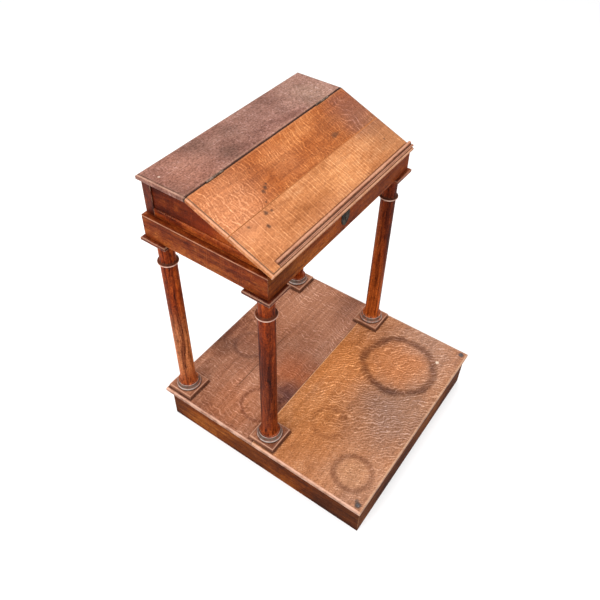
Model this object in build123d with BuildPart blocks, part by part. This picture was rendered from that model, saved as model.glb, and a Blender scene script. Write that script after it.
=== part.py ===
from build123d import *
import os

# An oak reading desk on a kneeling base: a box base with a boarded top, four turned
# columns, and a slope-topped desk case whose lid is hinged under a narrow flat shelf.
# Millimetres. +X is to the right of somebody at the front, +Y is to the back, +Z is up.
# The origin is on the floor, under the middle of the base.

# ---------------------------------------------------------------- driving dimensions
base_width = 670.0
base_depth = 694.0
base_top = 131.0
base_board_thickness = 16.0
base_overhang = 13.0
base_overhang_front = 5.0
base_rail_thickness = 20.0
base_joint_y = 15.0            # joint between the two boards of the base top

column_x = 283.0               # half the spacing of the columns
column_y_back = 297.0
column_y_front = -11.0
plinth_side = 84.5
plinth_height = 14.0
abacus_side = 78.0
abacus_height = 9.0

apron_bottom = 726.0
apron_ledge = 791.0            # top of the apron, which shows as a narrow ledge
apron_margin = 30.0            # from a column's centre to the apron's outer face
apron_thickness = 17.0

case_inset = 14.0              # width of the ledge at the sides
case_inset_back = 4.0
strip_thickness = 3.0          # stile and rail planted on each gable
gable_thickness = 14.0
case_back_thickness = 13.0
stile_width = 26.0
gable_rail_height = 22.0

top_half_width = 309.0
top_back_y = 328.0
shelf_top = 898.0
shelf_thickness = 13.0
hinge_y = 182.0
lid_front_y = -53.5
lid_front_z = 800.5            # top face of the lid at its lower edge
lid_thickness = 12.0
lid_joint = 126.0              # down the slope from the hinge to the joint of its boards

body_gap = 0.35                # air between pieces that move and pieces that don't
hinge_gap = 1.5                # open joint between the shelf and the lid

# ---------------------------------------------------------------- worked-out places
boards_underside = base_top - base_board_thickness
frame_half_x = base_width / 2 - base_overhang
frame_half_y = (base_depth - base_overhang - base_overhang_front) / 2
frame_centre_y = (base_overhang_front - base_overhang) / 2
plinth_top = base_top + plinth_height
abacus_bottom = apron_bottom - abacus_height
column_places = {
    "front_left": (-column_x, column_y_front),
    "front_right": (column_x, column_y_front),
    "back_left": (-column_x, column_y_back),
    "back_right": (column_x, column_y_back),
}
column_points = list(column_places.values())

apron_half_x = column_x + apron_margin
apron_front_y = column_y_front - apron_margin
apron_back_y = column_y_back + apron_margin
apron_half_y = (apron_back_y - apron_front_y) / 2
apron_centre_y = (apron_back_y + apron_front_y) / 2
apron_inner_x = apron_half_x - apron_thickness
apron_inner_front = apron_front_y + apron_thickness
apron_inner_back = apron_back_y - apron_thickness

case_half_x = apron_half_x - case_inset
gable_half_x = case_half_x - strip_thickness
case_back_y = apron_back_y - case_inset_back
shelf_underside = shelf_top - shelf_thickness

lid_rise = shelf_top - lid_front_z
lid_run = hinge_y - lid_front_y
lid_length = (lid_rise**2 + lid_run**2) ** 0.5
slope_cos = lid_run / lid_length
slope_sin = lid_rise / lid_length
hinge_line = (0, hinge_y, shelf_top)
# Each lid plane has its origin on the hinge line, in the lid's top face.
lid_across = Plane(hinge_line, x_dir=(1, 0, 0), z_dir=(0, -slope_cos, -slope_sin))
lid_along = Plane(hinge_line, x_dir=(0, slope_cos, slope_sin), z_dir=(1, 0, 0))
lid_face = Plane(hinge_line, x_dir=(1, 0, 0), z_dir=(0, -slope_sin, slope_cos))


def under_lid(y, gap=body_gap):
    """Height of the lid's underside above y, less a gap."""
    return shelf_top - (hinge_y - y) * lid_rise / lid_run - lid_thickness / slope_cos - gap


def finish(piece, name):
    """Label a finished piece and write its STEP file."""
    piece.part.label = name
    export_step(piece.part, f"parts/{name}.step")


os.makedirs("parts", exist_ok=True)


# ---------------------------------------------------------------- shared shapes
def mitred_outline(side, half_x, half_y, thickness, centre_y=0.0):
    """Plan of one rail of a mitred frame."""
    inner_x = half_x - thickness
    inner_y = half_y - thickness
    front = [(-half_x, -half_y), (half_x, -half_y), (inner_x, -inner_y), (-inner_x, -inner_y)]
    left = [(-half_x, half_y), (-half_x, -half_y), (-inner_x, -inner_y), (-inner_x, inner_y)]
    outline = front if side in ("front", "back") else left
    flip_x = -1 if side == "right" else 1
    flip_y = -1 if side == "back" else 1
    return [(flip_x * x, flip_y * y + centre_y) for x, y in outline]


# A thumb-moulded edge: a shallow sunk step, a rounded nose and an eased lower arris.
nose_width = 6.0
nose_step = 1.2
nose_radius = 4.2
nose_lower_radius = 2.5
base_nose_step = 0.5           # worn almost level on the base


def board_section(plane, low, high, thickness, mould_low=True, mould_high=True, step=nose_step):
    """Section of a board from low to high along the plane's x, with its top face at 0."""
    with BuildSketch(plane) as section:
        with Locations(((low + high) / 2, 0)):
            Rectangle(high - low, thickness, align=(Align.CENTER, Align.MAX))
        for moulded, edge, end in ((mould_low, low, 0), (mould_high, high, -1)):
            if not moulded:
                continue
            with Locations((edge, 0)):
                Rectangle(2 * nose_width, 2 * step, mode=Mode.SUBTRACT)
            corners = section.vertices().group_by(Axis.X)[end].sort_by(Axis.Y)
            fillet(corners[-1], nose_radius)
            corners = section.vertices().group_by(Axis.X)[end].sort_by(Axis.Y)
            fillet(corners[0], nose_lower_radius)
    return section.sketch


def block(low, high):
    """A box between two opposite corners."""
    with BuildPart() as box:
        with Locations(tuple((a + b) / 2 for a, b in zip(low, high))):
            Box(*[b - a for a, b in zip(low, high)])
    return box.part


def wood_screw(length, head_radius, shank_radius):
    """A countersunk screw without its slot: head's face at the origin, point down -Z."""
    with BuildPart() as screw:
        with BuildSketch(Plane.XZ):
            with BuildLine():
                Polyline(
                    (0, 0),
                    (head_radius, 0),
                    (shank_radius, shank_radius - head_radius),
                    (shank_radius, 2 * shank_radius - length),
                    (0, -length),
                    close=True,
                )
            make_face()
        revolve(axis=Axis.Z)
    return screw.part


def screw_set(blank, planes, slot_length, slot_width=0.8, slot_depth=0.8):
    """Copies of a screw, one to each plane, with a slot across each head."""
    with BuildPart() as screws:
        for plane in planes:
            with Locations(plane.location):
                add(blank)
                Box(slot_length, slot_width, 2 * slot_depth, mode=Mode.SUBTRACT)
    return screws


# ---------------------------------------------------------------- base
tenon_radius_bottom = 15.0
batten_width = 70.0
batten_x = frame_half_x - base_rail_thickness - batten_width / 2
batten_thickness = 24.0
batten_half_length = frame_half_y - base_rail_thickness
batten_underside = boards_underside - batten_thickness

base_screw_x = 318.0
base_screw_y = -330.0
base_screw = wood_screw(length=45, head_radius=4.6, shank_radius=2.2)
base_screw_planes = [
    Plane((sign * base_screw_x, base_screw_y, base_top - 0.2)) for sign in (-1, 1)
]
base_board_screws = screw_set(base_screw, base_screw_planes, slot_length=9)
finish(base_board_screws, "base_board_screws")

for side in ("front", "back", "left", "right"):
    with BuildPart() as base_rail:
        with BuildSketch():
            with BuildLine():
                Polyline(
                    *mitred_outline(
                        side, frame_half_x, frame_half_y, base_rail_thickness, frame_centre_y
                    ),
                    close=True,
                )
            make_face()
        extrude(amount=boards_underside)
        for plane in base_screw_planes:
            with Locations(plane.location):
                add(base_screw, mode=Mode.SUBTRACT)
    finish(base_rail, f"base_rail_{side}")

batten_screw = wood_screw(length=34, head_radius=4.2, shank_radius=2.0)
batten_screw_y = (-300.0, -130.0, 130.0, 210.0)
batten_screw_planes = [
    Plane((sign * batten_x, y, batten_underside), z_dir=(0, 0, -1))
    for sign in (-1, 1)
    for y in batten_screw_y
]
batten_screws = screw_set(batten_screw, batten_screw_planes, slot_length=8)
finish(batten_screws, "batten_screws")

for name, low, high, mould_low in (
    ("base_board_front", -base_depth / 2, base_joint_y, True),
    ("base_board_back", base_joint_y, base_depth / 2, False),
):
    across = Plane((0, high, base_top), x_dir=(1, 0, 0), z_dir=(0, -1, 0))
    along = Plane((0, 0, base_top), x_dir=(0, 1, 0), z_dir=(1, 0, 0))
    half_width = base_width / 2
    with BuildPart() as base_board:
        extrude(
            board_section(
                across, -half_width, half_width, base_board_thickness, step=base_nose_step
            ),
            amount=high - low,
        )
        extrude(
            board_section(
                along,
                low,
                high,
                base_board_thickness,
                mould_low,
                not mould_low,
                step=base_nose_step,
            ),
            amount=half_width,
            both=True,
            mode=Mode.INTERSECT,
        )
        with Locations(*[(x, y, base_top) for x, y in column_points if low < y < high]):
            Hole(tenon_radius_bottom, depth=base_board_thickness)
        for plane in base_screw_planes:
            with Locations(plane.location):
                add(base_screw, mode=Mode.SUBTRACT)
                Cylinder(
                    4.6, 2, align=(Align.CENTER, Align.CENTER, Align.MIN), mode=Mode.SUBTRACT
                )
        for plane in batten_screw_planes:
            with Locations(plane.location):
                add(batten_screw, mode=Mode.SUBTRACT)
    finish(base_board, name)

for side, sign in (("left", -1), ("right", 1)):
    with BuildPart() as base_batten:
        with Locations((sign * batten_x, frame_centre_y, batten_underside)):
            Box(
                batten_width,
                2 * batten_half_length,
                batten_thickness,
                align=(Align.CENTER, Align.CENTER, Align.MIN),
            )
        with Locations(*[(x, y, boards_underside) for x, y in column_points]):
            Hole(tenon_radius_bottom, depth=batten_thickness)
        for plane in batten_screw_planes:
            with Locations(plane.location):
                add(batten_screw, mode=Mode.SUBTRACT)
    finish(base_batten, f"base_batten_{side}")

# ---------------------------------------------------------------- columns
torus_radius = 5.0
torus_centre = 31.5
ring_radius = 2.5
ring_centre = 28.5
shaft_foot_radius = 26.5
shaft_radius_bottom = 23.0
shaft_radius_top = 21.8
astragal_top = 646.0
astragal_thickness = 6.0
astragal_rim = 27.5
neck_radius = 21.0
neck_top_radius = 23.0
tenon_radius_top = 12.5
tenon_top = 766.0

torus_top = plinth_top + 2 * torus_radius
ring_bottom = torus_top + 5.5
ring_top = ring_bottom + 2 * ring_radius
shaft_bottom = ring_top + 13.0
astragal_bottom = astragal_top - astragal_thickness
astragal_inner = astragal_rim - astragal_thickness / 2

for place, (x, y) in column_places.items():
    with BuildPart() as column_plinth:
        with Locations((x, y, base_top)):
            Box(
                plinth_side,
                plinth_side,
                plinth_height,
                align=(Align.CENTER, Align.CENTER, Align.MIN),
            )
        chamfer(column_plinth.edges().group_by(Axis.Z)[-1], length=1.6)
        with Locations((x, y, plinth_top)):
            Hole(tenon_radius_bottom, depth=plinth_height)
    finish(column_plinth, f"column_plinth_{place}")

    with BuildPart() as column_shaft:
        with BuildSketch(Plane((x, y, 0), x_dir=(1, 0, 0), z_dir=(0, -1, 0))):
            with BuildLine():
                Polyline(
                    (0, batten_underside),
                    (tenon_radius_bottom, batten_underside),
                    (tenon_radius_bottom, plinth_top),
                    (torus_centre, plinth_top),
                )
                RadiusArc((torus_centre, plinth_top), (torus_centre, torus_top), -torus_radius)
                Polyline(
                    (torus_centre, torus_top),
                    (torus_centre - 1, torus_top),
                    (torus_centre - 1, torus_top + 1.2),
                )
                RadiusArc(
                    (torus_centre - 1, torus_top + 1.2), (ring_centre, ring_bottom), 5.0
                )
                RadiusArc((ring_centre, ring_bottom), (ring_centre, ring_top), -ring_radius)
                Line((ring_centre, ring_top), (shaft_foot_radius, ring_top))
                RadiusArc(
                    (shaft_foot_radius, ring_top), (shaft_radius_bottom, shaft_bottom), 26.0
                )
                Polyline(
                    (shaft_radius_bottom, shaft_bottom),
                    (shaft_radius_top, astragal_bottom - 4),
                )
                RadiusArc(
                    (shaft_radius_top, astragal_bottom - 4),
                    (astragal_inner, astragal_bottom),
                    6.0,
                )
                RadiusArc(
                    (astragal_inner, astragal_bottom),
                    (astragal_inner, astragal_top),
                    -astragal_thickness / 2,
                )
                RadiusArc(
                    (astragal_inner, astragal_top), (neck_radius, astragal_top + 3), 5.0
                )
                Line((neck_radius, astragal_top + 3), (neck_radius, abacus_bottom - 8))
                RadiusArc(
                    (neck_radius, abacus_bottom - 8), (neck_top_radius, abacus_bottom), 14.0
                )
                Polyline(
                    (neck_top_radius, abacus_bottom),
                    (tenon_radius_top, abacus_bottom),
                    (tenon_radius_top, tenon_top),
                    (0, tenon_top),
                    (0, batten_underside),
                )
            make_face()
        revolve(axis=Axis((x, y, 0), (0, 0, 1)))
    finish(column_shaft, f"column_shaft_{place}")

    with BuildPart() as column_abacus:
        with Locations((x, y, abacus_bottom)):
            Box(
                abacus_side,
                abacus_side,
                abacus_height,
                align=(Align.CENTER, Align.CENTER, Align.MIN),
            )
        chamfer(column_abacus.edges().group_by(Axis.Z)[-1], length=2.0)
        with Locations((x, y, apron_bottom)):
            Hole(tenon_radius_top, depth=abacus_height)
    finish(column_abacus, f"column_abacus_{place}")

# ---------------------------------------------------------------- desk lock
# The lock lets into the back of the front apron rail, and its bolt rises into the lid.
lock_x = -8.0                  # middle of the lock, the keyhole and the escutcheon
lock_plate_half_width = 31.0
lock_case_half_width = 25.0
lock_plate_bottom = 740.0
lock_case_bottom = 743.0
lock_top = 790.5               # underside of the selvedge, the plate in the rail's top edge
lock_wall = 1.2
lock_depth = 10.0
lock_front_y = apron_inner_front - lock_depth
selvedge_thickness = 1.5
selvedge_half_width = 34.0
selvedge_front_y = -38.0
bolt_y = -29.0
bolt_half_width = 9.0
bolt_thickness = 4.0
bolt_bottom = 768.0
bolt_top = lock_top + selvedge_thickness - 0.3
bolt_clearance = 0.35
key_height = 762.0
key_post_radius = 1.6
keyhole_radius = 3.2
keyhole_slot_width = 2.6
keyhole_slot_drop = 9.0

lock_screw = wood_screw(length=11, head_radius=2.6, shank_radius=1.3)
lock_screw_planes = [
    Plane((lock_x + sign * 28.0, apron_inner_front, z), z_dir=(0, 1, 0))
    for sign in (-1, 1)
    for z in (753.0, 780.0)
]
lock_screws = screw_set(lock_screw, lock_screw_planes, slot_length=6, slot_depth=0.6)
finish(lock_screws, "lock_screws")


def keyhole(front, back):
    """The keyhole's opening, from one Y to another."""
    with BuildPart() as hole:
        with BuildSketch(Plane((lock_x, back, key_height), x_dir=(1, 0, 0), z_dir=(0, -1, 0))):
            Circle(keyhole_radius)
            Rectangle(
                keyhole_slot_width, keyhole_slot_drop, align=(Align.CENTER, Align.MAX)
            )
        extrude(amount=back - front)
    return hole.part


def lock_block(half_width, front, back, bottom, top):
    """A box centred on the lock."""
    return block((lock_x - half_width, front, bottom), (lock_x + half_width, back, top))


lock_body = lock_block(
    lock_case_half_width, lock_front_y, apron_inner_front, lock_case_bottom, lock_top
)
lock_plate = lock_block(
    lock_plate_half_width,
    apron_inner_front - lock_wall,
    apron_inner_front,
    lock_plate_bottom,
    lock_top,
)
with BuildPart() as lock_case:
    add(lock_body)
    add(lock_plate)
    add(
        lock_block(
            lock_case_half_width - lock_wall,
            lock_front_y + lock_wall,
            apron_inner_front - lock_wall,
            lock_case_bottom + lock_wall,
            lock_top,
        ),
        mode=Mode.SUBTRACT,
    )
    add(keyhole(lock_front_y, lock_front_y + lock_wall), mode=Mode.SUBTRACT)
    for plane in lock_screw_planes:
        with Locations(plane.location):
            add(lock_screw, mode=Mode.SUBTRACT)
finish(lock_case, "lock_case")

with BuildPart() as lock_selvedge:
    add(
        lock_block(
            selvedge_half_width,
            selvedge_front_y,
            apron_inner_front,
            lock_top,
            lock_top + selvedge_thickness,
        )
    )
    add(
        lock_block(
            bolt_half_width + bolt_clearance,
            bolt_y - bolt_thickness / 2 - bolt_clearance,
            bolt_y + bolt_thickness / 2 + bolt_clearance,
            lock_top,
            lock_top + selvedge_thickness,
        ),
        mode=Mode.SUBTRACT,
    )
finish(lock_selvedge, "lock_selvedge")

post_foot = Plane((lock_x, apron_inner_front - lock_wall, key_height), z_dir=(0, -1, 0))
with BuildPart() as lock_key_post:
    with Locations(post_foot.location):
        Cylinder(
            key_post_radius,
            lock_depth - 2 * lock_wall,
            align=(Align.CENTER, Align.CENTER, Align.MIN),
        )
finish(lock_key_post, "lock_key_post")

with BuildPart() as lock_bolt:
    add(
        lock_block(
            bolt_half_width,
            bolt_y - bolt_thickness / 2,
            bolt_y + bolt_thickness / 2,
            bolt_bottom,
            bolt_top,
        )
    )
    # The key's bit lifts the bolt by this notch.
    add(
        lock_block(
            3.5,
            bolt_y - bolt_thickness / 2,
            bolt_y + bolt_thickness / 2,
            bolt_bottom,
            bolt_bottom + 3,
        ),
        mode=Mode.SUBTRACT,
    )
    chamfer(lock_bolt.faces().sort_by(Axis.Z)[-1].edges().filter_by(Axis.X), length=0.8)
finish(lock_bolt, "lock_bolt")

escutcheon_half_width = 18.0
escutcheon_top = 782.0
escutcheon_shoulder = 760.0
escutcheon_tip = 740.0
escutcheon_thickness = 1.4
escutcheon_pin = wood_screw(length=8, head_radius=1.3, shank_radius=0.7)
escutcheon_pin_planes = [
    Plane((lock_x + sign * 14.0, apron_front_y - escutcheon_thickness, 772.0), z_dir=(0, -1, 0))
    for sign in (-1, 1)
]
with BuildPart() as escutcheon_pins:
    for plane in escutcheon_pin_planes:
        with Locations(plane.location):
            add(escutcheon_pin)
finish(escutcheon_pins, "escutcheon_pins")

with BuildPart() as escutcheon:
    with BuildSketch(Plane((lock_x, apron_front_y, 0), x_dir=(1, 0, 0), z_dir=(0, -1, 0))):
        with BuildLine():
            Polyline(
                (-escutcheon_half_width, escutcheon_shoulder),
                (-escutcheon_half_width, escutcheon_top),
                (escutcheon_half_width, escutcheon_top),
                (escutcheon_half_width, escutcheon_shoulder),
            )
            ThreePointArc(
                (escutcheon_half_width, escutcheon_shoulder),
                (escutcheon_half_width * 0.66, escutcheon_tip + 8.0),
                (0, escutcheon_tip),
            )
            ThreePointArc(
                (0, escutcheon_tip),
                (-escutcheon_half_width * 0.66, escutcheon_tip + 8.0),
                (-escutcheon_half_width, escutcheon_shoulder),
            )
        make_face()
    extrude(amount=escutcheon_thickness, taper=20)
    add(keyhole(apron_front_y - escutcheon_thickness, apron_front_y), mode=Mode.SUBTRACT)
    for plane in escutcheon_pin_planes:
        with Locations(plane.location):
            add(escutcheon_pin, mode=Mode.SUBTRACT)
finish(escutcheon, "escutcheon")

# ---------------------------------------------------------------- apron and desk floor
for side in ("front", "back", "left", "right"):
    with BuildPart() as apron_rail:
        with BuildSketch(Plane.XY.offset(apron_bottom)):
            with BuildLine():
                Polyline(
                    *mitred_outline(
                        side, apron_half_x, apron_half_y, apron_thickness, apron_centre_y
                    ),
                    close=True,
                )
            make_face()
        extrude(amount=apron_ledge - apron_bottom)
        if side == "front":
            # Between the gables the front rail rises to the sloping underside of the lid.
            with BuildSketch(Plane.YZ):
                with BuildLine():
                    Polyline(
                        (apron_front_y, apron_ledge),
                        (apron_inner_front, apron_ledge),
                        (apron_inner_front, under_lid(apron_inner_front)),
                        (apron_front_y, under_lid(apron_front_y)),
                        close=True,
                    )
                make_face()
            extrude(amount=case_half_x, both=True)
            add(lock_body, mode=Mode.SUBTRACT)
            add(lock_plate, mode=Mode.SUBTRACT)
            add(keyhole(apron_front_y, lock_front_y), mode=Mode.SUBTRACT)
            add(
                lock_block(
                    selvedge_half_width,
                    selvedge_front_y,
                    apron_inner_front,
                    lock_top,
                    under_lid(apron_inner_front),
                ),
                mode=Mode.SUBTRACT,
            )
            for blank, planes in (
                (lock_screw, lock_screw_planes),
                (escutcheon_pin, escutcheon_pin_planes),
            ):
                for plane in planes:
                    with Locations(plane.location):
                        add(blank, mode=Mode.SUBTRACT)
    finish(apron_rail, f"apron_rail_{side}")

corner_block_side = 48.0
corner_block_top = 771.0
desk_floor_underside = 738.0
desk_floor_thickness = 10.0
cleat_side = 12.0
floor_middle_y = (apron_inner_front + apron_inner_back) / 2
floor_half_y = (apron_inner_back - apron_inner_front) / 2
corner_block_places = [
    (sign_x * (apron_inner_x - corner_block_side / 2), floor_middle_y + sign_y * offset_y)
    for offset_y in [floor_half_y - corner_block_side / 2]
    for sign_x in (-1, 1)
    for sign_y in (-1, 1)
]

with BuildPart() as apron_corner_blocks:
    with Locations(*[(x, y, apron_bottom) for x, y in corner_block_places]):
        Box(
            corner_block_side,
            corner_block_side,
            corner_block_top - apron_bottom,
            align=(Align.CENTER, Align.CENTER, Align.MIN),
        )
    with Locations(*[(x, y, tenon_top) for x, y in column_points]):
        Hole(tenon_radius_top, depth=tenon_top - apron_bottom)
finish(apron_corner_blocks, "apron_corner_blocks")

with BuildPart() as desk_floor:
    with Locations((0, floor_middle_y, desk_floor_underside)):
        Box(
            2 * apron_inner_x,
            2 * floor_half_y,
            desk_floor_thickness,
            align=(Align.CENTER, Align.CENTER, Align.MIN),
        )
    with Locations(*[(x, y, desk_floor_underside) for x, y in corner_block_places]):
        Box(
            corner_block_side,
            corner_block_side,
            desk_floor_thickness,
            align=(Align.CENTER, Align.CENTER, Align.MIN),
            mode=Mode.SUBTRACT,
        )
finish(desk_floor, "desk_floor")

with BuildPart() as desk_floor_cleats:
    for length, width, places in (
        (
            2 * (apron_inner_x - corner_block_side),
            cleat_side,
            [
                (0, floor_middle_y + sign * (floor_half_y - cleat_side / 2))
                for sign in (-1, 1)
            ],
        ),
        (
            cleat_side,
            2 * (floor_half_y - corner_block_side),
            [(sign * (apron_inner_x - cleat_side / 2), floor_middle_y) for sign in (-1, 1)],
        ),
    ):
        with Locations(*[(x, y, desk_floor_underside) for x, y in places]):
            Box(length, width, cleat_side, align=(Align.CENTER, Align.CENTER, Align.MAX))
finish(desk_floor_cleats, "desk_floor_cleats")

# ---------------------------------------------------------------- desk case
shelf_front_y = hinge_y + hinge_gap / 2
lid_back_y = hinge_y - hinge_gap / 2
stile_front_y = case_back_y - stile_width
case_back_front_y = case_back_y - case_back_thickness
gable_rail_top = apron_ledge + gable_rail_height
# Where the level top of the planted rail runs out against the lid.
gable_rail_meets_lid = hinge_y - (under_lid(hinge_y) - gable_rail_top) * lid_run / lid_rise

for side, sign in (("left", -1), ("right", 1)):
    gable_face = Plane((sign * gable_half_x, 0, 0), x_dir=(0, 1, 0), z_dir=(1, 0, 0))
    with BuildPart() as gable_board:
        with BuildSketch(gable_face):
            with BuildLine():
                Polyline(
                    (apron_inner_front, corner_block_top),
                    (case_back_front_y, corner_block_top),
                    (case_back_front_y, shelf_underside),
                    (shelf_front_y, shelf_underside),
                    (lid_back_y, under_lid(lid_back_y)),
                    (apron_inner_front, under_lid(apron_inner_front)),
                    close=True,
                )
            make_face()
        extrude(amount=-sign * gable_thickness)
    finish(gable_board, f"gable_board_{side}")

    with BuildPart() as gable_stile:
        with BuildSketch(gable_face):
            with Locations((case_back_y, apron_ledge)):
                Rectangle(
                    stile_width, shelf_underside - apron_ledge, align=(Align.MAX, Align.MIN)
                )
        extrude(amount=sign * strip_thickness)
    finish(gable_stile, f"gable_stile_{side}")

    with BuildPart() as gable_rail:
        with BuildSketch(gable_face):
            with BuildLine():
                Polyline(
                    (apron_inner_front, apron_ledge),
                    (stile_front_y, apron_ledge),
                    (stile_front_y, gable_rail_top),
                    (gable_rail_meets_lid, gable_rail_top),
                    (apron_inner_front, under_lid(apron_inner_front)),
                    close=True,
                )
            make_face()
        extrude(amount=sign * strip_thickness)
        # Only the outer arris of the level top edge is taken off.
        top_arrises = gable_rail.edges().filter_by(Axis.Y).group_by(Axis.Z)[-1]
        chamfer(top_arrises.sort_by(Axis.X)[0 if sign < 0 else -1], length=1.5)
    finish(gable_rail, f"gable_rail_{side}")

with BuildPart() as case_back:
    add(
        block(
            (-gable_half_x, case_back_front_y, apron_ledge),
            (gable_half_x, case_back_y, shelf_underside),
        )
    )
finish(case_back, "case_back")

# ---------------------------------------------------------------- hinges
hinge_x = 211.0
hinge_length = 57.0
hinge_axis_z = shelf_top + 0.8
leaf_thickness = 1.2
leaf_bottom = 886.5
knuckle_count = 5
knuckle_radius = 2.75
knuckle_clearance = 0.35
knuckle_end_gap = 0.15
hinge_pin_radius = 1.25
lid_bore_radius = 1.3
hinge_screw_height = 889.6
hinge_screw = wood_screw(length=12, head_radius=2.6, shank_radius=1.2)
fixed_knuckles = (0, 2, 4)
lid_knuckles = (1, 3)
hinge_centres = {"left": -hinge_x, "right": hinge_x}


def barrel(centre_x, length, radius):
    """A cylinder on the hinge axis."""
    with BuildPart() as cylinder:
        with Locations((centre_x, hinge_y, hinge_axis_z)):
            Cylinder(radius, length, rotation=(0, 90, 0))
    return cylinder.part


def knuckles(centre_x, numbers, radius, end_gap):
    """Some of a hinge's knuckles, counted from its left end."""
    pitch = hinge_length / knuckle_count
    with BuildPart() as row:
        for number in numbers:
            middle = centre_x + (number - (knuckle_count - 1) / 2) * pitch
            add(barrel(middle, pitch - 2 * end_gap, radius))
    return row.part


def hinge_leaf(centre_x, front, back, own, other, bore_radius, screw_planes):
    """One leaf, with its own knuckles and room for the other leaf's."""
    with BuildPart() as leaf:
        add(
            block(
                (centre_x - hinge_length / 2, front, leaf_bottom),
                (centre_x + hinge_length / 2, back, hinge_axis_z),
            )
        )
        add(
            knuckles(centre_x, other, knuckle_radius + knuckle_clearance, -knuckle_end_gap),
            mode=Mode.SUBTRACT,
        )
        add(knuckles(centre_x, own, knuckle_radius, knuckle_end_gap))
        add(barrel(centre_x, hinge_length, bore_radius), mode=Mode.SUBTRACT)
        for plane in screw_planes:
            with Locations(plane.location):
                add(hinge_screw, mode=Mode.SUBTRACT)
    return leaf


def hinge_recess(centre_x, front, back):
    """Wood cut away for one leaf and for the row of knuckles."""
    with BuildPart() as recess:
        add(
            block(
                (centre_x - hinge_length / 2, front, leaf_bottom),
                (centre_x + hinge_length / 2, back, shelf_top + 2),
            )
        )
        add(
            barrel(
                centre_x, hinge_length + 2 * knuckle_clearance, knuckle_radius + knuckle_clearance
            )
        )
    return recess.part


shelf_hinge_screw_planes = [
    Plane((centre_x + offset, shelf_front_y, hinge_screw_height), z_dir=(0, -1, 0))
    for centre_x in hinge_centres.values()
    for offset in (-20, 0, 20)
]
lid_hinge_screw_planes = [
    Plane((centre_x + offset, lid_back_y, hinge_screw_height), z_dir=(0, 1, 0))
    for centre_x in hinge_centres.values()
    for offset in (-20, 0, 20)
]
hinge_shelf_screws = screw_set(
    hinge_screw, shelf_hinge_screw_planes, slot_length=6, slot_depth=0.6
)
finish(hinge_shelf_screws, "hinge_shelf_screws")
hinge_lid_screws = screw_set(hinge_screw, lid_hinge_screw_planes, slot_length=6, slot_depth=0.6)
finish(hinge_lid_screws, "hinge_lid_screws")

for side, centre_x in hinge_centres.items():
    finish(
        hinge_leaf(
            centre_x,
            shelf_front_y,
            shelf_front_y + leaf_thickness,
            fixed_knuckles,
            lid_knuckles,
            hinge_pin_radius,
            shelf_hinge_screw_planes,
        ),
        f"hinge_leaf_shelf_{side}",
    )
    finish(
        hinge_leaf(
            centre_x,
            lid_back_y - leaf_thickness,
            lid_back_y,
            lid_knuckles,
            fixed_knuckles,
            lid_bore_radius,
            lid_hinge_screw_planes,
        ),
        f"hinge_leaf_lid_{side}",
    )
    with BuildPart() as hinge_pin:
        add(barrel(centre_x, hinge_length, hinge_pin_radius))
    finish(hinge_pin, f"hinge_pin_{side}")

# ---------------------------------------------------------------- top shelf
with BuildPart() as top_shelf:
    across = Plane((0, top_back_y, shelf_top), x_dir=(1, 0, 0), z_dir=(0, -1, 0))
    along = Plane((0, 0, shelf_top), x_dir=(0, 1, 0), z_dir=(1, 0, 0))
    extrude(
        board_section(across, -top_half_width, top_half_width, shelf_thickness),
        amount=top_back_y - shelf_front_y,
    )
    extrude(
        board_section(along, shelf_front_y, top_back_y, shelf_thickness, mould_low=False),
        amount=top_half_width,
        both=True,
        mode=Mode.INTERSECT,
    )
    for centre_x in hinge_centres.values():
        add(
            hinge_recess(centre_x, shelf_front_y, shelf_front_y + leaf_thickness),
            mode=Mode.SUBTRACT,
        )
    for plane in shelf_hinge_screw_planes:
        with Locations(plane.location):
            add(hinge_screw, mode=Mode.SUBTRACT)
finish(top_shelf, "top_shelf")

# ---------------------------------------------------------------- lid
# The lid's keeper is let into its underside over the bolt. Its places are measured down the
# slope from the hinge.
keeper_middle = 232.6
keeper_half_width = 17.0
keeper_half_length = 7.5
keeper_thickness = 1.2
keeper_pocket_half_width = 10.0
keeper_pocket_half_length = 4.5
keeper_pocket_depth = 6.5
lid_underside = lid_face.offset(-lid_thickness)
keeper_screw = wood_screw(length=8, head_radius=1.8, shank_radius=0.9)
keeper_screw_planes = [
    Plane(
        lid_underside.from_local_coords((lock_x + sign * 13.5, -keeper_middle, 0)),
        z_dir=(0, slope_sin, -slope_cos),
    )
    for sign in (-1, 1)
]
keeper_screws = screw_set(keeper_screw, keeper_screw_planes, slot_length=4, slot_depth=0.5)
finish(keeper_screws, "keeper_screws")


def keeper_block(half_width, half_length, depth):
    """A box over the bolt, going into the lid from its underside."""
    with BuildPart() as box:
        with BuildSketch(lid_underside):
            with Locations((lock_x, -keeper_middle)):
                Rectangle(2 * half_width, 2 * half_length)
        extrude(amount=depth)
    return box.part


keeper_pocket = keeper_block(
    keeper_pocket_half_width, keeper_pocket_half_length, keeper_pocket_depth
)
with BuildPart() as lock_keeper:
    add(keeper_block(keeper_half_width, keeper_half_length, keeper_thickness))
    add(keeper_pocket, mode=Mode.SUBTRACT)
    for plane in keeper_screw_planes:
        with Locations(plane.location):
            add(keeper_screw, mode=Mode.SUBTRACT)
finish(lock_keeper, "lock_keeper")

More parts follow.
